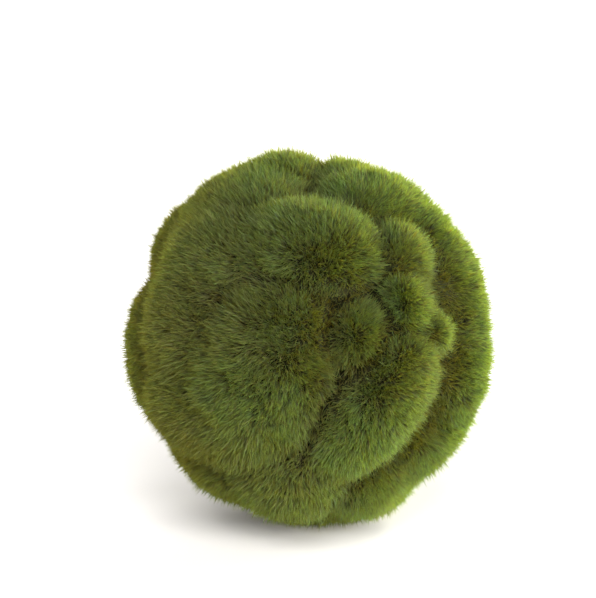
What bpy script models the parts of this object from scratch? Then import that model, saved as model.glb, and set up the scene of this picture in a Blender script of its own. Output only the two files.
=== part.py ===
"""Marimo moss ball: one lobed growth about 90 mm across, standing on the flat it has settled on.

Metres, +Z up, -Y the front. The origin is on the flat underside, straight below the point that the
lobes grow around. The whole ball is one solid, and its surface is where the pile's tips end.
"""

import bpy
import numpy as np

MM = 0.001

CENTRE_HEIGHT = 44.0  # mm from the flat underside up to the point that the lobes grow around
CORE_RADIUS = 39.5  # mm, the floor of the deepest furrows
FURROW_ROUNDING = 0.7  # mm, how softly one lobe runs into the next
GRID = 28  # facets along each side of the cube that the surface grid starts from

# Each lobe is part of an ellipsoid that bulges outward. Its top lies along a bearing (degrees,
# 0 at the front, positive to the right) and a height angle (degrees above level), at the reach
# (mm) from the centre. Then come half its width, half its height and its depth behind the top
# (mm), its turn on the surface, and how far its right and upper sides are tipped out (degrees).
LOBES = (
    # bearing, height, reach, half width, half height, depth, turn, right out, top out
    # front, upper
    (-6, 46, 48.3, 22, 16, 18, -4, 16, 10),
    (-42, 39, 47.4, 20, 18, 18, 8, -12, 8),
    (-49, 17, 46.8, 19, 24, 20, 0, -14, 0),
    (46, 40, 46.6, 11, 12, 14, 0, 24, 4),
    (40, 22, 46.4, 9, 12, 14, 0, 26, 0),
    (49, 11, 44.8, 7, 8, 12, 0, 16, 0),
    (18, 12, 44.6, 11, 12, 13, -24, 22, -16),
    # front, middle
    (-20, -4, 48.0, 21, 28, 22, -20, 14, 0),
    (-42, -18, 46.8, 23, 18, 20, 0, -2, -8),
    (23, -16, 47.2, 14, 24, 17, -32, 20, -4),
    # front, low
    (-46, -46, 46.0, 18, 16, 18, 0, 0, -6),
    (-12, -46, 47.6, 19, 19, 18, 0, 6, 0),
    (34, -52, 47.2, 14, 16, 16, -20, 12, -6),
    (60, -38, 45.6, 15, 21, 18, -40, 18, 0),
    # crown
    (-98, 58, 45.4, 30, 24, 20, 10, 0, 14),
    (-115, 79, 46.9, 15, 16, 18, 0, 0, 0),
    (64, 62, 47.3, 20, 17, 19, -20, 6, 10),
    (98, 76, 45.6, 17, 14, 18, 0, 0, 0),
    # sides
    (-84, -7, 45.2, 16, 24.5, 18.5, 0, 0, 0),
    (-88, -46, 45.2, 17, 15, 18, 0, 0, 0),
    (78, 35, 47.1, 14, 26, 18, 0, 22, 0),
    (72, -13, 46.4, 14, 24, 18, -12, 20, 0),
    (112, 2, 45.5, 19, 24, 20, 10, 8, 0),
    (70, -64, 47.2, 17, 15, 17, 0, 0, 0),
    (115, -44, 45.4, 17, 16, 18, 0, 0, 0),
    # back
    (-104, 38, 46.0, 17, 18, 18, 0, 8, 0),
    (-112, -30, 45.0, 18, 20, 18, 0, 0, 0),
    (-150, 46, 45.5, 20, 18, 20, 0, 0, 6),
    (-142, 4, 46.0, 20, 26, 20, 0, 10, 0),
    (-158, -44, 45.6, 18, 17, 18, 0, 6, 0),
    (172, 18, 46.5, 22, 18, 20, -15, 10, 4),
    (150, -22, 46.0, 20, 20, 20, 0, 8, 0),
    (128, 40, 45.5, 20, 18, 20, 0, 0, 8),
    # the settled underside
    (70, -81, 46.8, 22, 20, 13, 0, 0, 0),
)


def clear_scene():
    for thing in list(bpy.data.objects):
        bpy.data.objects.remove(thing, do_unlink=True)


def turned_pair(first, second, degrees):
    """Two directions at right angles, turned together from the first towards the second."""
    cosine = np.cos(np.radians(degrees))
    sine = np.sin(np.radians(degrees))
    return first * cosine + second * sine, second * cosine - first * sine


def lobe_exit(rays, lobe):
    """How far each ray from the centre runs before it leaves a lobe's ellipsoid, 0 if it misses."""
    bearing, height, reach, half_width, half_height, depth, turn, right_out, top_out = lobe
    level = np.array((0.0, -1.0, 0.0))
    right = np.array((1.0, 0.0, 0.0))
    level, right = turned_pair(level, right, bearing)
    outward, up = turned_pair(level, np.array((0.0, 0.0, 1.0)), height)
    centre = outward * (reach - depth)
    right, facing = turned_pair(right, outward, right_out)
    up, facing = turned_pair(up, facing, top_out)
    across, along = turned_pair(right, up, turn)
    axes = np.array((across / half_width, along / half_height, facing / depth))
    steps = rays @ axes.T
    offset = axes @ centre
    square = np.sum(steps * steps, axis=1)
    lean = steps @ offset
    inside = lean**2 - square * (offset @ offset - 1)
    reached = (lean + np.sqrt(np.maximum(inside, 0))) / square
    return np.where((inside > 0) & (reached > 0), reached, 0)


def surface_radius(rays):
    """The outermost lobe along each ray, rounded where two lobes meet."""
    exits = [lobe_exit(rays, lobe) for lobe in LOBES]
    exits.append(np.full(len(rays), CORE_RADIUS))
    exits = np.array(exits)
    outermost = exits.max(axis=0)
    crowding = np.exp((exits - outermost) / FURROW_ROUNDING).sum(axis=0)
    return outermost + FURROW_ROUNDING * np.log(crowding)


def ball_grid():
    """Unit rays through a cube's gridded faces, and the quads between them, facing outward."""
    steps = np.tan(np.linspace(-np.pi / 4, np.pi / 4, GRID + 1))
    across, up = np.meshgrid(steps, steps)
    face = np.stack((across, up, np.ones_like(across)), axis=-1).reshape(-1, 3)
    corner = (np.arange(GRID)[:, None] * (GRID + 1) + np.arange(GRID)).reshape(-1)
    quad = np.stack((corner, corner + 1, corner + GRID + 2, corner + GRID + 1), axis=-1)
    points = []
    quads = []
    for axis in range(3):
        for side in (1, -1):
            quads.append(quad + len(points) * len(face))
            points.append(np.roll(face * (side, 1, side), axis, axis=1))
    points = np.concatenate(points)
    quads = np.concatenate(quads)
    keys = np.round(points * 1e6).astype(np.int64)
    first, shared = np.unique(keys, axis=0, return_index=True, return_inverse=True)[1:]
    points = points[first]
    rays = points / np.linalg.norm(points, axis=1, keepdims=True)
    return rays, shared.reshape(-1)[quads]


def make_moss_ball():
    rays, quads = ball_grid()
    radius = surface_radius(rays)
    falling = np.maximum(-rays[:, 2], 1e-6)
    settled = radius * falling > CENTRE_HEIGHT
    radius = np.where(settled, CENTRE_HEIGHT / falling, radius)
    points = rays * radius[:, None] + (0, 0, CENTRE_HEIGHT)
    points[settled, 2] = 0
    mesh = bpy.data.meshes.new("moss_ball")
    mesh.from_pydata((points * MM).tolist(), [], quads.tolist())
    mesh.update()
    ball = bpy.data.objects.new("moss_ball", mesh)
    bpy.context.scene.collection.objects.link(ball)
    return ball


def moss_green():
    material = bpy.data.materials.new("moss")
    material.use_nodes = True
    shader = material.node_tree.nodes["Principled BSDF"]
    shader.inputs["Base Color"].default_value = (0.095, 0.125, 0.032, 1)
    shader.inputs["Roughness"].default_value = 0.9
    return material


def main():
    clear_scene()
    make_moss_ball().data.materials.append(moss_green())


main()
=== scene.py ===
"""Marimo moss ball: the felted mat and the upright pile that the plain solid stands in for.

The ball is a set of lobes. Each lobe is the outward part of an ellipsoid, and the surface along a
ray from the ball's centre is the outermost lobe there, rounded where two lobes meet. The mat and
every strand of the pile are worked out from that one surface.
"""

import bpy
import numpy as np
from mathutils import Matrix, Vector


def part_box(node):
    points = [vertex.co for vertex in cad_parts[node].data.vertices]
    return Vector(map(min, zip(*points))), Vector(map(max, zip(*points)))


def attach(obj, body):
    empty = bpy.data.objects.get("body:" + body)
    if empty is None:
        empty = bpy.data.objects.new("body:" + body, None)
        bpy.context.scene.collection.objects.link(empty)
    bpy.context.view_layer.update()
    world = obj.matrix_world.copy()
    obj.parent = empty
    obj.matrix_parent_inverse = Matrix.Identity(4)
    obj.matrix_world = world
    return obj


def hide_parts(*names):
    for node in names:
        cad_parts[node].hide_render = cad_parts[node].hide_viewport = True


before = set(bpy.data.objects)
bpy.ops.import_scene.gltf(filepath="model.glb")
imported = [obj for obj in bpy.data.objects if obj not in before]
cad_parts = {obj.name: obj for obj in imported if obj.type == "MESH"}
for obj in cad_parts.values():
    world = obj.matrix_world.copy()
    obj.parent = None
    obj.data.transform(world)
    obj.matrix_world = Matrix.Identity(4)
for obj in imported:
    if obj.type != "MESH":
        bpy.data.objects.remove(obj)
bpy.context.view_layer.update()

bl_info = {
    "name": "Marimo moss ball",
    "version": (1, 0, 0),
    "blender": (4, 5, 0),
    "location": "View3D > Sidebar > Moss ball",
    "description": "Grows a lobed ball of moss with a velvety pile",
    "category": "Object",
}

MM = 0.001
NODE = "moss_ball"
PALETTE_MAP = "OFBake"
SEED = 20  # every random pattern has its own seed, counted on from this one

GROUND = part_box(NODE)[0].z
CENTRE_HEIGHT = 44.0  # mm from the settled underside up to the point that the lobes grow around
CORE_RADIUS = 39.5  # mm, the floor of the deepest furrows
FURROW_ROUNDING = 0.7  # mm, how softly one lobe runs into the next
FURROW_GAIN = 6.0  # how soon a strand counts as standing in a furrow
GRAZING = 0.15  # the least cosine between a lobe's normal and the ray, where it runs edge on

# Each lobe's top lies along a bearing (degrees, 0 at the front, positive to the right) and a
# height angle (degrees above level), at the reach (mm) from the centre. Then come half its width,
# half its height and its depth behind the top (mm), its turn on the surface, and how far its
# right and upper sides are tipped out (degrees).
LOBES = (
    # bearing, height, reach, half width, half height, depth, turn, right out, top out
    # front, upper
    (-6, 46, 48.3, 22, 16, 18, -4, 16, 10),
    (-42, 39, 47.4, 20, 18, 18, 8, -12, 8),
    (-49, 17, 46.8, 19, 24, 20, 0, -14, 0),
    (46, 40, 46.6, 11, 12, 14, 0, 24, 4),
    (40, 22, 46.4, 9, 12, 14, 0, 26, 0),
    (49, 11, 44.8, 7, 8, 12, 0, 16, 0),
    (18, 12, 44.6, 11, 12, 13, -24, 22, -16),
    # front, middle
    (-20, -4, 48.0, 21, 28, 22, -20, 14, 0),
    (-42, -18, 46.8, 23, 18, 20, 0, -2, -8),
    (23, -16, 47.2, 14, 24, 17, -32, 20, -4),
    # front, low
    (-46, -46, 46.0, 18, 16, 18, 0, 0, -6),
    (-12, -46, 47.6, 19, 19, 18, 0, 6, 0),
    (34, -52, 47.2, 14, 16, 16, -20, 12, -6),
    (60, -38, 45.6, 15, 21, 18, -40, 18, 0),
    # crown
    (-98, 58, 45.4, 30, 24, 20, 10, 0, 14),
    (-115, 79, 46.9, 15, 16, 18, 0, 0, 0),
    (64, 62, 47.3, 20, 17, 19, -20, 6, 10),
    (98, 76, 45.6, 17, 14, 18, 0, 0, 0),
    # sides
    (-84, -7, 45.2, 16, 24.5, 18.5, 0, 0, 0),
    (-88, -46, 45.2, 17, 15, 18, 0, 0, 0),
    (78, 35, 47.1, 14, 26, 18, 0, 22, 0),
    (72, -13, 46.4, 14, 24, 18, -12, 20, 0),
    (112, 2, 45.5, 19, 24, 20, 10, 8, 0),
    (70, -64, 47.2, 17, 15, 17, 0, 0, 0),
    (115, -44, 45.4, 17, 16, 18, 0, 0, 0),
    # back
    (-104, 38, 46.0, 17, 18, 18, 0, 8, 0),
    (-112, -30, 45.0, 18, 20, 18, 0, 0, 0),
    (-150, 46, 45.5, 20, 18, 20, 0, 0, 6),
    (-142, 4, 46.0, 20, 26, 20, 0, 10, 0),
    (-158, -44, 45.6, 18, 17, 18, 0, 6, 0),
    (172, 18, 46.5, 22, 18, 20, -15, 10, 4),
    (150, -22, 46.0, 20, 20, 20, 0, 8, 0),
    (128, 40, 45.5, 20, 18, 20, 0, 0, 8),
    # the settled underside
    (70, -81, 46.8, 22, 20, 13, 0, 0, 0),
)

# The mat lies this share of the pile's length under the surface, plus the second share in furrows.
MAT_DEPTH = 0.6
MAT_FURROW_DEPTH = 0.6
MAT_LUMPS = 0.006  # how far the mat's lumps rise, as a share of its radius
MAT_LUMP_WAVE = 2.6  # mm from one lump to the next
MAT_CLEARANCE = 0.5  # how high the mat's underside stays above the ground, in pile lengths

# Places for a strand are tried at even steps over the sphere, each moved this far at random. The
# chance that a place grows one is its surface, radius squared over cosine, over this area.
PLACE_JITTER = 0.0016
PLACE_AREA = 4400.0  # square mm
STEEPEST = 0.3  # the least cosine between ray and normal that counts there

# The pile parts from a swirl that lies this way from the centre. It is combed away from the swirl
# this strongly, and less and less towards a line a little past the ball's side.
SWIRL = np.array((0.41, -0.88, 0.22))
COMBING = 0.3
COMBING_PAST_SIDE = 0.2

# How far strands lean beside their own length: together in tufts (wavelength in mm, amount, seed),
# each by itself at the root, all of that again at the bend, each by itself there, and downward.
TUFTS = ((9.0, 0.08, 60), (2.6, 0.06, 70))
OWN_LEAN = 0.1
LEAN_AT_BEND = 0.8
OWN_BEND = 0.12
SAG = 0.03

# A strand's length, in pile lengths: the least to start with, the mean of what each adds at
# random, the most that it adds, how much the length drifts over the ball, how far that drift runs
# (mm), the share that a furrow takes off, and the least that is left.
SHORTEST = 0.86
LENGTH_SPREAD = 0.11
LONGEST_MORE = 0.5
LENGTH_DRIFT = 0.04
LENGTH_WAVE = 5.0
FURROW_SHORTENING = 0.15
STUBBLE = 0.4
LOWER_PART = 0.55  # of a strand's length, from the root to the bend
UPPER_PART = 0.47  # from the bend to the tip
WIDTH_RANGE = (0.75, 1.3)

# On the settled underside, strands end this far above the ground (mm) and point down, with this
# share of the surface's own direction.
GROUND_CLEARANCE = 0.4
KEPT_DIRECTION = 0.4

# A strand's tint runs from 0, withered, brown and darkest, to 1, fresh, green and lightest. Besides
# the moss's own variation it carries painted shade, which lowers it in furrows, in hollows, near
# the ground, on the left and in a patch on the upper left of the front, and painted light, which
# raises it on the right. It starts from the middling tint, and each number below says how much one
# thing changes it.
MIDDLING_TINT = 0.56
TINT_DRIFT = 0.09
TINT_WAVES = ((34.0, 0.5, 90), (11.0, 0.25, 95))  # wavelength (mm), amount, seed
TINT_SPREAD = 0.1
# Painted shade: strands in furrows are made darker and browner.
FURROW_PAINTED_SHADE = 0.12
# Painted shade: strands in hollows, below the hollow radius, are made darker and browner.
HOLLOW_PAINTED_SHADE = 0.3
HOLLOW_RADIUS = 44.5  # mm from the centre, below which the pile counts as in a hollow
HOLLOW_FADE = 4.0  # mm
# Painted shade: strands near the ground, under the ball, are made darker and browner.
GROUND_PAINTED_SHADE = 0.4
GROUND_FADE = 5.0  # mm above the ground, over which that fades out
SIDE_PAINTED_LIGHT_AND_HUE = 0.18  # painted light: the right side, towards the key light, is lighter and greener, and the left darker and browner, partly the moss's own hue
SIDE_PAINTED_LIGHT_AND_HUE_LOST = 0.8  # how much of that is gone at the back
TINT_LIMITS = (0.02, 0.98)

# Darker patches, the first browner and darker at the lower left of the front, the second painted
# shade on the upper left of the front: the direction from the centre, how much darker, and the
# square of the patch's width, on a sphere of radius 1.
DARKER_AND_SHADED_PATCHES = (
    ((-0.62, -0.62, -0.35), 0.12, 0.25),
    ((-0.52, -0.66, 0.53), 0.2, 0.12),
)

# Where the root's colour ends and the stem's lies, from 0 at the root to 1 at the tip.
ROOT_ENDS = 0.3
STEM_PLACE = 0.68
# A strand shows the withered colour, which is also the colour of its painted shade, by the first
# number less the second times its tint, times the third number plus the fourth times the height
# along it.
WITHERED = (1.1, 1.5)
WITHERED_ALONG = (0.3, 0.35)
BRIGHTNESS = (0.68, 0.8)  # of a withered strand, and how much brighter a fresh one is; painted shade in the tint darkens it too
PALETTE_HALF_WIDTH = 0.001  # of a strand in the palette map, so that it has some width there
THROUGH_SHARE = 0.5  # how much of a strand's light has come through it
THROUGH_TINT = (2.05, 1.4, 0.15)  # what that does to its colour: yellower
THROUGH_RISE = 4  # the power by which light comes through more towards the tip
BRIGHTEST = 1.25  # how much brighter than its own colour the freshest strand is

# The mat's patches and fibres, in lumps to the metre, and how its greener patches are marked off.
MOTTLE_SCALE = 260.0
FIBRE_SCALE = 2400.0
MOTTLE_CONTRAST = 2.2
MOTTLE_OFFSET = 0.6

# Metres, apart from the lens and the sensor, which are in mm.
FLOOR_HALF = 8.0
LENS = 100.3
SENSOR = 36.0
CAMERA_DISTANCE = 0.4084
AIM_ABOVE_CENTRE = 0.0096
AIM_LEFT_OF_CENTRE = 0.0026
WHITE = (1, 1, 1, 1)

# The pile is kept in six pieces, each the share that faces one way.
SIDES = {
    "right": (1, 0, 0),
    "left": (-1, 0, 0),
    "back": (0, 1, 0),
    "front": (0, -1, 0),
    "crown": (0, 0, 1),
    "underside": (0, 0, -1),
}

# Each soft light's strength, its bearing (degrees, 0 at the front, positive to the right), its
# height angle (degrees above level) and how many degrees across it looks from the ball.
LIGHTS = (
    ("key_light", 6.1, 40, 10, 50),
    ("front_light", 2.3, -8, 50, 44),
    ("back_light", 8.8, 150, 5, 40),
    ("right_light", 2.8, 112, 8, 40),
    ("left_light", 1.6, -158, 6, 30),
)


# ---------------------------------------------------------------- settings


def colour_setting(name, description, default):
    """A colour property with its name, its description and its default."""
    return bpy.props.FloatVectorProperty(
        name=name, description=description, default=default, size=3, subtype="COLOR", min=0, max=1
    )


class MossPileSettings(bpy.types.PropertyGroup):
    """The mat and the pile"""

    strands: bpy.props.IntProperty(
        name="Strands tried",
        description="Places tried for a strand; about half of them grow one",
        default=930000,
        min=1000,
    )
    length: bpy.props.FloatProperty(
        name="Pile length",
        description="Length of a middling strand",
        default=0.0046,
        unit="LENGTH",
    )
    width: bpy.props.FloatProperty(
        name="Strand width",
        description="Width of a strand at its middle",
        default=0.00026,
        unit="LENGTH",
    )
    mat_grid: bpy.props.IntProperty(
        name="Mat facets",
        description="Facets along each side of the cube that the mat's grid starts from",
        default=68,
        min=4,
    )


class MossColourSettings(bpy.types.PropertyGroup):
    """The colours of the strands and the mat"""

    root: colour_setting("Root", "Old growth at the foot of the pile", (0.062, 0.053, 0.034))
    stem: colour_setting("Stem", "Middle of a strand", (0.068, 0.098, 0.050))
    tip: colour_setting("Tip", "Fresh growth at the end of a strand", (0.19, 0.355, 0.072))
    mat: colour_setting("Mat", "Old felt under the pile", (0.036, 0.030, 0.012))
    mat_green: colour_setting("Mat, greener", "Greener patches of the felt", (0.034, 0.040, 0.012))
    # The withered colour is also the colour of the painted shade in furrows, hollows, near the
    # ground and on the left.
    withered_and_shaded: colour_setting("Withered", "Brownish strands in dull patches", (0.245, 0.225, 0.08))


class MossStageSettings(bpy.types.PropertyGroup):
    """The floor, the light and the camera"""

    ambient: bpy.props.FloatProperty(
        name="Surrounding light",
        description="Strength of the even light from the white surround",
        default=0.06,
    )
    lights: bpy.props.FloatProperty(
        name="Lights",
        description="Strength of all the lights, which multiplies each one's own",
        default=1.0,
    )
    floor: colour_setting("Floor", "Plain pale floor", (0.97, 0.94, 0.91))
    camera_height: bpy.props.FloatProperty(
        name="Camera height angle",
        description="How far above level the camera stands, seen from the ball",
        default=np.radians(12.0),
        subtype="ANGLE",
    )


# ---------------------------------------------------------------- the lobed surface


def unit(vectors):
    """Vectors scaled to length 1."""
    return vectors / np.linalg.norm(vectors, axis=-1, keepdims=True)


def turned_pair(first, second, degrees):
    """Two directions at right angles, turned together from the first towards the second."""
    cosine = np.cos(np.radians(degrees))
    sine = np.sin(np.radians(degrees))
    return first * cosine + second * sine, second * cosine - first * sine


def lobe_frame(lobe):
    """A lobe's centre, and its three semi-axis directions, each divided by its length."""
    bearing, height, reach, half_width, half_height, depth, turn, right_out, top_out = lobe
    level = np.array((0.0, -1.0, 0.0))
    right = np.array((1.0, 0.0, 0.0))
    level, right = turned_pair(level, right, bearing)
    outward, up = turned_pair(level, np.array((0.0, 0.0, 1.0)), height)
    centre = outward * (reach - depth)
    right, facing = turned_pair(right, outward, right_out)
    up, facing = turned_pair(up, facing, top_out)
    across, along = turned_pair(right, up, turn)
    return centre, np.array((across / half_width, along / half_height, facing / depth))


def lobe_exit(rays, lobe):
    """How far each ray runs before it leaves a lobe, the larger root of |A(t ray - c)| = 1."""
    centre, axes = lobe_frame(lobe)
    steps = rays @ axes.T
    offset = axes @ centre
    square = np.sum(steps * steps, axis=1)
    lean = steps @ offset
    inside = lean**2 - square * (offset @ offset - 1)
    reached = (lean + np.sqrt(np.maximum(inside, 0))) / square
    return np.where((inside > 0) & (reached > 0), reached, 0)


def lobed_surface(rays):
    """Radius (mm), outward normal and furrow nearness (0 to 1) of the surface along unit rays.

    The radius is k log(sum of exp(exit / k)) over the lobes, a maximum rounded by k. The normal is
    the lobes' own normals, each scaled to the same step along the ray and weighted by its share of
    that sum. A furrow is near where the two outermost lobes are level and face different ways.
    """
    exits = [lobe_exit(rays, lobe) for lobe in LOBES]
    exits.append(np.full(len(rays), CORE_RADIUS))
    exits = np.array(exits)
    outermost = exits.max(axis=0)
    shares = np.exp((exits - outermost) / FURROW_ROUNDING)
    total = shares.sum(axis=0)
    radius = outermost + FURROW_ROUNDING * np.log(total)
    shares /= total
    normal = rays * shares[-1][:, None]
    mean_facing = normal.copy()
    for lobe, reached, share in zip(LOBES, exits, shares):
        centre, axes = lobe_frame(lobe)
        facing = unit(((rays * reached[:, None] - centre) @ axes.T) @ axes)
        along = np.maximum(np.sum(facing * rays, axis=1), GRAZING)
        normal += facing * (share / along)[:, None]
        mean_facing += facing * share[:, None]
    furrow = 1 - np.linalg.norm(mean_facing, axis=1)
    return radius, unit(normal), np.clip(furrow * FURROW_GAIN, 0, 1)


def settle(points):
    """The points (mm from the ball's centre) in metres, pressed flat where they pass the ground."""
    placed = points + (0, 0, CENTRE_HEIGHT)
    placed[:, 2] = np.maximum(placed[:, 2], 0)
    return placed * MM + (0, 0, GROUND)


def waves(points, wavelength, seed, count=7):
    """A smooth random value about 0: sine waves that run in different directions, summed.

    Their lengths spread about the wavelength, and the sum is over the root of half their count.
    """
    draws = np.random.default_rng(seed)
    ways = unit(draws.normal(size=(count, 3))) * (2 * np.pi / wavelength)
    ways *= draws.uniform(0.6, 1.5, (count, 1))
    phase = draws.uniform(0, 2 * np.pi, count)
    return np.sin(points @ ways.T + phase).sum(axis=1) / np.sqrt(count / 2)


def drift(points, wavelength, seed):
    """A smooth random vector, three sets of waves."""
    return np.stack([waves(points, wavelength, seed + axis) for axis in range(3)], axis=-1)


# ---------------------------------------------------------------- meshes


def new_mesh_object(name, points, sizes, corners):
    """A mesh from its points, each face's corner count and all corners in one run."""
    mesh = bpy.data.meshes.new(name)
    mesh.vertices.add(len(points))
    mesh.vertices.foreach_set("co", np.ascontiguousarray(points, dtype=np.float32).ravel())
    mesh.loops.add(len(corners))
    mesh.loops.foreach_set("vertex_index", corners.astype(np.int32))
    mesh.polygons.add(len(sizes))
    starts = np.concatenate(((0,), np.cumsum(sizes)[:-1]))
    mesh.polygons.foreach_set("loop_start", starts.astype(np.int32))
    mesh.update(calc_edges=True)
    mesh.validate()
    thing = bpy.data.objects.new(name, mesh)
    bpy.context.scene.collection.objects.link(thing)
    return thing


def cube_rays(grid):
    """Unit rays through a cube's gridded faces, and the quads between them, facing outward."""
    steps = np.tan(np.linspace(-np.pi / 4, np.pi / 4, grid + 1))
    across, up = np.meshgrid(steps, steps)
    face = np.stack((across, up, np.ones_like(across)), axis=-1).reshape(-1, 3)
    corner = (np.arange(grid)[:, None] * (grid + 1) + np.arange(grid)).reshape(-1)
    quad = np.stack((corner, corner + 1, corner + grid + 2, corner + grid + 1), axis=-1)
    points = []
    quads = []
    for axis in range(3):
        for side in (1, -1):
            quads.append(quad + len(points) * len(face))
            points.append(np.roll(face * (side, 1, side), axis, axis=1))
    points = np.concatenate(points)
    quads = np.concatenate(quads)
    keys = np.round(points * 1e6).astype(np.int64)  # the same for points shared by two faces
    first, shared = np.unique(keys, axis=0, return_index=True, return_inverse=True)[1:]
    return unit(points[first]), shared.reshape(-1)[quads]


def make_mat(pile_length, grid):
    """The felted ground that the pile grows out of: the lobed surface less most of the pile."""
    rays, quads = cube_rays(grid)
    radius, _, furrow = lobed_surface(rays)
    depth = (MAT_DEPTH + MAT_FURROW_DEPTH * furrow) * pile_length / MM
    points = rays * (radius - depth)[:, None]
    points *= (1 + MAT_LUMPS * waves(points, MAT_LUMP_WAVE, SEED + 50))[:, None]
    lowest = MAT_CLEARANCE * pile_length / MM - CENTRE_HEIGHT
    points[:, 2] = np.maximum(points[:, 2], lowest)
    mat = new_mesh_object("moss_mat", settle(points), np.full(len(quads), 4), quads.ravel())
    mat.data.shade_smooth()
    return mat


def spiral_rays(count):
    """Evenly spread unit rays: equal steps in height, each turned on by the golden angle."""
    step = np.arange(count) + 0.5
    height = 1 - 2 * step / count
    turn = step * np.pi * (3 - np.sqrt(5))
    level = np.sqrt(1 - height**2)
    return np.stack((level * np.cos(turn), level * np.sin(turn), height), axis=-1)


def grow_strands(settings):
    """Where strands start and which way they lean: even over the surface, whatever its slope.

    A ray grows a strand with a chance that rises with the surface that its share of the sphere
    covers, radius squared over the cosine between ray and normal.
    """
    draws = np.random.default_rng(SEED)
    rays = spiral_rays(settings.strands)
    rays = unit(rays + draws.normal(scale=PLACE_JITTER, size=rays.shape))
    radius, normal, furrow = lobed_surface(rays)
    spread = radius**2 / np.maximum(np.sum(rays * normal, axis=1), STEEPEST)
    grows = draws.uniform(size=len(rays)) < spread / PLACE_AREA
    return rays[grows], radius[grows], normal[grows], furrow[grows]


def combing(rays):
    """How the pile is brushed: along the surface, away from the swirl, and less on the far side."""
    nearness = rays @ SWIRL
    away = rays * nearness[:, None] - SWIRL
    return away * (COMBING * np.clip(COMBING_PAST_SIDE + nearness, 0, 1))[:, None]


def strand_tints(rays, radius, surface, furrow, root, draws):
    """How fresh each strand is, with painted shade and light in it: smooth drifts and each strand's
    own share, less painted shade in furrows, in hollows and near the ground, plus painted light on
    the right and painted shade on the left, less the darker patches.

    A patch's darkening falls off as exp(-distance squared over the patch's width squared).
    """
    drifts = sum(waves(root, wave, SEED + seed) * amount for wave, amount, seed in TINT_WAVES)
    tint = MIDDLING_TINT + TINT_DRIFT * np.clip(drifts, -1, 1)
    tint += draws.normal(scale=TINT_SPREAD, size=len(rays))
    # Painted shade in furrows: a lower tint, so darker and browner strands.
    tint -= FURROW_PAINTED_SHADE * furrow
    # Painted shade in hollows between the lobes.
    tint -= HOLLOW_PAINTED_SHADE * np.clip((HOLLOW_RADIUS - radius) / HOLLOW_FADE, 0, 1)
    # Painted shade near the ground, under the ball.
    tint -= GROUND_PAINTED_SHADE * np.clip(1 - (surface[:, 2] + CENTRE_HEIGHT) / GROUND_FADE, 0, 1)
    # Painted light: lighter and greener on the right, darker and browner on the left, less so at
    # the back.
    backward = np.clip(rays[:, 1], 0, 1)
    tint += SIDE_PAINTED_LIGHT_AND_HUE * rays[:, 0] * (1 - SIDE_PAINTED_LIGHT_AND_HUE_LOST * backward)
    # Darker patches: the first browner and darker, the second painted shade.
    for way, darker, width_squared in DARKER_AND_SHADED_PATCHES:
        apart = np.sum((rays - way) ** 2, axis=1)
        tint -= darker * np.exp(-apart / width_squared)
    return np.clip(tint, *TINT_LIMITS)


def strand_shapes(settings):
    """Root, middle, tip, half width across and tint of every strand, in mm about the centre."""
    draws = np.random.default_rng(SEED + 1)
    rays, radius, normal, furrow = grow_strands(settings)
    count = len(rays)
    pile = settings.length / MM
    surface = rays * radius[:, None]
    falling = -surface[:, 2]
    pressed = falling > CENTRE_HEIGHT - GROUND_CLEARANCE
    surface[pressed] *= ((CENTRE_HEIGHT - GROUND_CLEARANCE) / falling[pressed])[:, None]
    normal[pressed] = unit(normal[pressed] * KEPT_DIRECTION + (0, 0, -1))
    root = surface - normal * pile
    lean = combing(rays) + draws.normal(scale=OWN_LEAN, size=(count, 3))
    for wavelength, amount, seed in TUFTS:
        lean += drift(root, wavelength, SEED + seed) * amount
    first = unit(normal + lean)
    own_bend = draws.normal(scale=OWN_BEND, size=(count, 3))
    second = unit(first + lean * LEAN_AT_BEND + own_bend - (0, 0, SAG))
    length = SHORTEST + np.minimum(draws.exponential(LENGTH_SPREAD, count), LONGEST_MORE)
    length = pile * (length + LENGTH_DRIFT * waves(root, LENGTH_WAVE, SEED + 80))
    length *= 1 - FURROW_SHORTENING * furrow
    length = np.maximum(length, STUBBLE * pile)[:, None]
    middle = root + first * length * LOWER_PART
    tip = middle + second * length * UPPER_PART
    across = unit(np.cross(first, draws.normal(size=(count, 3))))
    across *= settings.width / MM / 2 * draws.uniform(*WIDTH_RANGE, (count, 1))
    tint = strand_tints(rays, radius, surface, furrow, root, draws)
    return rays, root, middle, tip, across, tint


def make_pile(settings):
    """The upright pile: each strand is a flat blade, pointed at both ends, that bends once.

    Its four points are the root, the two sides of its middle and the tip. The palette map's first
    number is the strand's tint, and its second is how far up the strand the point lies.
    """
    rays, root, middle, tip, across, tint = strand_shapes(settings)
    points = np.stack((root, middle + across, tip, middle - across), axis=1)
    aside = np.array((0, 1, 0, -1)) * PALETTE_HALF_WIDTH
    palette = np.empty((len(tint), 4, 2))
    palette[:, :, 0] = tint[:, None] + aside
    palette[:, :, 1] = (0, LOWER_PART, 1, LOWER_PART)
    facing = np.argmax(rays @ np.array(list(SIDES.values())).T, axis=1)
    pieces = []
    for number, side in enumerate(SIDES):
        share = facing == number
        count = int(share.sum())
        placed = settle(points[share].reshape(-1, 3))
        corners = np.arange(count * 4)
        piece = new_mesh_object(f"moss_pile_{side}", placed, np.full(count, 4), corners)
        layer = piece.data.uv_layers.new(name=PALETTE_MAP)
        layer.data.foreach_set("uv", palette[share].astype(np.float32).ravel())
        pieces.append(piece)
    return pieces


# ---------------------------------------------------------------- materials


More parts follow.
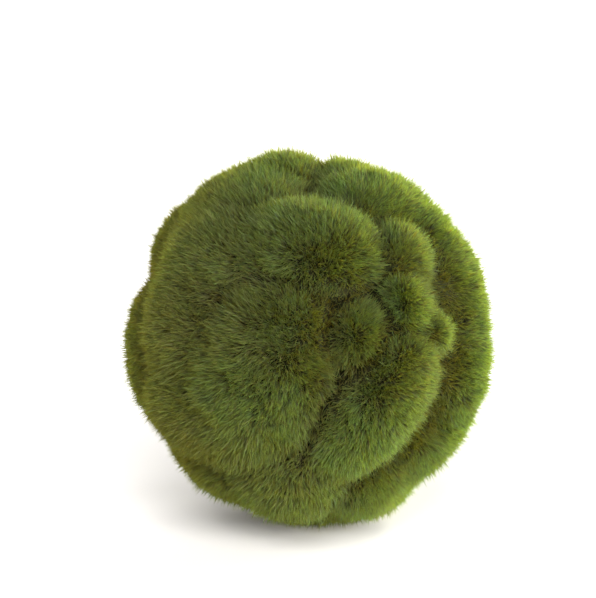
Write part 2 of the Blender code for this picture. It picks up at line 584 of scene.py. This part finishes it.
class Varying:
    """A number that varies over a surface: a node's socket that takes part in plain sums."""

    def __init__(self, nodes, socket):
        self.nodes = nodes
        self.socket = socket

    def worked_out(self, operation, *terms):
        """What a Math node gives for these terms."""
        found = self.nodes.add("ShaderNodeMath", {"operation": operation}, dict(enumerate(terms)))
        return Varying(self.nodes, found.outputs[0])

    def __add__(self, other):
        return self.worked_out("ADD", self, other)

    __radd__ = __add__

    def __sub__(self, other):
        return self.worked_out("SUBTRACT", self, other)

    def __rsub__(self, other):
        return self.worked_out("SUBTRACT", other, self)

    def __mul__(self, other):
        return self.worked_out("MULTIPLY", self, other)

    __rmul__ = __mul__

    def __pow__(self, other):
        return self.worked_out("POWER", self, other)

    def held(self):
        """The number kept between 0 and 1."""
        return self.worked_out("MINIMUM", self.worked_out("MAXIMUM", self, 0.0), 1.0)


class Nodes:
    """The node tree of a material or the surround, emptied, and one way to add a node to it."""

    def __init__(self, owner, output="ShaderNodeOutputMaterial"):
        self.owner = owner
        owner.use_nodes = True
        self.tree = owner.node_tree
        self.tree.nodes.clear()
        self.output = self.tree.nodes.new(output)

    def finished(self, shader):
        """The material or surround, with this shader as what it shows."""
        self.feed(self.output.inputs[0], shader)
        return self.owner

    def add(self, kind, settings=None, sockets=None):
        """A node of a kind, with its settings made first and then its sockets fed."""
        node = self.tree.nodes.new(kind)
        for name, value in (settings or {}).items():
            if name == "stops":
                self.set_stops(node.color_ramp, value)
            else:
                setattr(node, name, value)
        for name, value in (sockets or {}).items():
            self.feed(node.inputs[name], value)
        return node

    def feed(self, socket, value):
        """Gives a socket a link, where the value is one, or else a fixed value."""
        if isinstance(value, Varying):
            value = value.socket
        if isinstance(value, bpy.types.NodeSocket):
            self.tree.links.new(value, socket)
        else:
            socket.default_value = value

    @staticmethod
    def set_stops(ramp, stops):
        """A ramp's places and colours."""
        while len(ramp.elements) < len(stops):
            ramp.elements.new(1.0)
        for element, (place, colour) in zip(ramp.elements, stops):
            element.position = place
            element.color = (*colour, 1)

    def mix(self, factor, first, second):
        """The first colour where the factor is 0, and the second where it is 1."""
        found = self.add("ShaderNodeMix", {"data_type": "RGBA"}, {0: factor, 6: first, 7: second})
        return found.outputs[2]

    def scaled(self, colour, amount):
        """A colour made lighter or darker."""
        found = self.add(
            "ShaderNodeVectorMath", {"operation": "SCALE"}, {0: colour, "Scale": amount}
        )
        return found.outputs[0]

    def blended(self, factor, first, second):
        """The first shader where the factor is 0, and the second where it is 1."""
        return self.add("ShaderNodeMixShader", {}, {0: factor, 1: first, 2: second}).outputs[0]

    def let_through(self, colour, amount):
        """A shader that shows the light from behind, in the colour that it comes through as."""
        shown = [part * share * amount for part, share in zip(colour, THROUGH_TINT)]
        found = self.add("ShaderNodeBsdfTranslucent", {}, {"Color": (*shown, 1)})
        return found.outputs[0]

    def noise(self, scale, detail, place):
        """A smooth random pattern, about this many lumps to the metre."""
        found = self.add(
            "ShaderNodeTexNoise", {}, {"Vector": place, "Scale": scale, "Detail": detail}
        )
        return Varying(self, found.outputs[0])


def pile_material(colours):
    """Strands: dark at the root, fresh at the tip, and let light through from behind."""
    nodes = Nodes(bpy.data.materials.new("moss_pile"))
    palette = nodes.add("ShaderNodeUVMap", {"uv_map": PALETTE_MAP})
    spot = nodes.add("ShaderNodeSeparateXYZ", {}, {0: palette.outputs[0]})
    tint = Varying(nodes, spot.outputs[0])
    height = Varying(nodes, spot.outputs[1])
    stops = ((ROOT_ENDS, colours.root), (STEM_PLACE, colours.stem), (1.0, colours.tip))
    strand = nodes.add("ShaderNodeValToRGB", {"stops": stops}, {0: height}).outputs[0]
    # A low tint, from withering and from painted shade, mixes in the withered colour and darkens
    # the strand.
    withered_and_shaded = (WITHERED[0] - tint * WITHERED[1]).held()
    withered_and_shaded = withered_and_shaded * (WITHERED_ALONG[0] + height * WITHERED_ALONG[1])
    brightness = BRIGHTNESS[0] + tint * BRIGHTNESS[1]
    strand = nodes.mix(withered_and_shaded, strand, (*colours.withered_and_shaded, 1))
    strand = nodes.scaled(strand, brightness)
    lit = nodes.add(
        "ShaderNodeBsdfPrincipled",
        {},
        {"Base Color": strand, "Roughness": 0.7, "Specular IOR Level": 0.36},
    )
    share = brightness * (1 / BRIGHTEST)
    through = nodes.blended(
        (height**THROUGH_RISE * share).held(),
        nodes.let_through(colours.root, 1.0),
        nodes.let_through(colours.tip, BRIGHTEST),
    )
    through = nodes.blended(
        (withered_and_shaded * share).held(), through, nodes.let_through(colours.withered_and_shaded, BRIGHTEST)
    )
    return nodes.finished(nodes.blended(THROUGH_SHARE, lit.outputs[0], through))


def mat_material(colours):
    """Old felted growth: dark, mottled, with a fine fibrous bump."""
    nodes = Nodes(bpy.data.materials.new("moss_mat"))
    place = nodes.add("ShaderNodeTexCoord").outputs["Object"]
    mottle = nodes.noise(MOTTLE_SCALE, 4.0, place)
    fibres = nodes.noise(FIBRE_SCALE, 6.0, place)
    greener = (mottle * MOTTLE_CONTRAST - MOTTLE_OFFSET).held()
    growth = nodes.mix(greener, (*colours.mat, 1), (*colours.mat_green, 1))
    growth = nodes.scaled(growth, 0.5 + fibres)
    bump = nodes.add(
        "ShaderNodeBump", {}, {"Height": fibres.socket, "Strength": 0.6, "Distance": 0.0003}
    )
    felt = nodes.add(
        "ShaderNodeBsdfPrincipled",
        {},
        {
            "Base Color": growth,
            "Roughness": 0.95,
            "Specular IOR Level": 0.1,
            "Normal": bump.outputs[0],
        },
    )
    return nodes.finished(felt.outputs[0])


def floor_material(colour):
    """Plain matte paint."""
    nodes = Nodes(bpy.data.materials.new("pale_floor"))
    paint = nodes.add(
        "ShaderNodeBsdfPrincipled",
        {},
        {"Base Color": (*colour, 1), "Roughness": 0.9, "Specular IOR Level": 0.0},
    )
    return nodes.finished(paint.outputs[0])


# ---------------------------------------------------------------- operators


class MOSS_OT_mat(bpy.types.Operator):
    """Grow the felted mat under the pile"""

    bl_idname = "moss.mat"
    bl_label = "Grow mat"

    def execute(self, context):
        settings = context.scene.moss_pile
        mat = make_mat(settings.length, settings.mat_grid)
        mat.data.materials.append(mat_material(context.scene.moss_colours))
        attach(mat, "root")
        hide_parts(NODE)
        return {"FINISHED"}


class MOSS_OT_pile(bpy.types.Operator):
    """Grow the upright pile on every side"""

    bl_idname = "moss.pile"
    bl_label = "Grow pile"

    def execute(self, context):
        material = pile_material(context.scene.moss_colours)
        for piece in make_pile(context.scene.moss_pile):
            piece.data.materials.append(material)
            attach(piece, "root")
        return {"FINISHED"}


class MOSS_OT_stage(bpy.types.Operator):
    """Set the floor, the light and the camera"""

    bl_idname = "moss.stage"
    bl_label = "Set stage"

    def execute(self, context):
        settings = context.scene.moss_stage
        make_floor(settings)
        make_surround(settings)
        for name, strength, bearing, height, width in LIGHTS:
            make_light(name, strength * settings.lights, bearing, height, width)
        make_camera(settings)
        return {"FINISHED"}


def make_floor(settings):
    """One flat square at the ball's underside."""
    corners = np.array(((-1, -1), (1, -1), (1, 1), (-1, 1))) * FLOOR_HALF
    points = np.column_stack((corners, np.full(4, GROUND)))
    floor = new_mesh_object("floor", points, np.array((4,)), np.arange(4))
    floor.data.materials.append(floor_material(settings.floor))


def point_at(thing, place, target):
    """Stands a light or camera at a place and turns its -Z towards a target."""
    thing.location = place
    thing.rotation_euler = (Vector(target) - Vector(place)).to_track_quat("-Z", "Y").to_euler()


def make_surround(settings):
    """Even white all round, which lights the ball a little and is plain white where it shows."""
    nodes = Nodes(bpy.data.worlds.new("white_surround"), "ShaderNodeOutputWorld")
    shows = nodes.add("ShaderNodeLightPath").outputs["Is Camera Ray"]
    dim = nodes.add("ShaderNodeBackground", {}, {"Color": WHITE, "Strength": settings.ambient})
    plain = nodes.add("ShaderNodeBackground", {}, {"Color": WHITE, "Strength": 1.0})
    shown = nodes.blended(shows, dim.outputs[0], plain.outputs[0])
    bpy.context.scene.world = nodes.finished(shown)


def make_light(name, strength, bearing, height, width):
    """A soft even light that comes from a bearing and a height angle, in degrees."""
    lamp = bpy.data.lights.new(name, "SUN")
    lamp.energy = strength
    lamp.angle = np.radians(width)
    light = bpy.data.objects.new(name, lamp)
    bpy.context.scene.collection.objects.link(light)
    level, _ = turned_pair(np.array((0.0, -1.0, 0.0)), np.array((1.0, 0.0, 0.0)), bearing)
    place, _ = turned_pair(level, np.array((0.0, 0.0, 1.0)), height)
    point_at(light, place, (0, 0, 0))


def make_camera(settings):
    """A long lens that looks down on the ball from the front."""
    scene = bpy.context.scene
    height = settings.camera_height
    back = np.array((0, -np.cos(height), np.sin(height)))
    up = np.array((0, np.sin(height), np.cos(height)))
    centre = np.array((0, 0, GROUND + CENTRE_HEIGHT * MM))
    aim = centre + up * AIM_ABOVE_CENTRE - np.array((AIM_LEFT_OF_CENTRE, 0, 0))
    data = bpy.data.cameras.new("camera")
    data.sensor_width = SENSOR
    data.lens = LENS
    data.clip_start = 0.01
    camera = bpy.data.objects.new("camera", data)
    scene.collection.objects.link(camera)
    point_at(camera, aim + back * CAMERA_DISTANCE, aim)
    scene.camera = camera
    scene.view_settings.view_transform = "Standard"


# ---------------------------------------------------------------- panel and running


class MOSS_PT_panel(bpy.types.Panel):
    """Moss ball settings and pieces"""

    bl_label = "Moss ball"
    bl_idname = "MOSS_PT_panel"
    bl_space_type = "VIEW_3D"
    bl_region_type = "UI"
    bl_category = "Moss ball"

    def draw(self, context):
        for attribute in GROUPS:
            group = getattr(context.scene, attribute)
            box = self.layout.box()
            for name in group.bl_rna.properties.keys():
                if name not in ("rna_type", "name"):
                    box.prop(group, name)
        for operator in OPERATORS:
            self.layout.operator(operator.bl_idname)


OPERATORS = (MOSS_OT_mat, MOSS_OT_pile, MOSS_OT_stage)
GROUPS = {
    "moss_pile": MossPileSettings,
    "moss_colours": MossColourSettings,
    "moss_stage": MossStageSettings,
}


def register():
    """Makes the settings, the operators and the panel known."""
    for name, group in GROUPS.items():
        bpy.utils.register_class(group)
        setattr(bpy.types.Scene, name, bpy.props.PointerProperty(type=group))
    for kind in (*OPERATORS, MOSS_PT_panel):
        bpy.utils.register_class(kind)


def unregister():
    """Takes them away again."""
    for kind in (MOSS_PT_panel, *reversed(OPERATORS)):
        bpy.utils.unregister_class(kind)
    for name, group in GROUPS.items():
        delattr(bpy.types.Scene, name)
        bpy.utils.unregister_class(group)


def main():
    """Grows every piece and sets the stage."""
    register()
    bpy.ops.moss.mat()
    bpy.ops.moss.pile()
    bpy.ops.moss.stage()


if __name__ == "__main__":
    main()
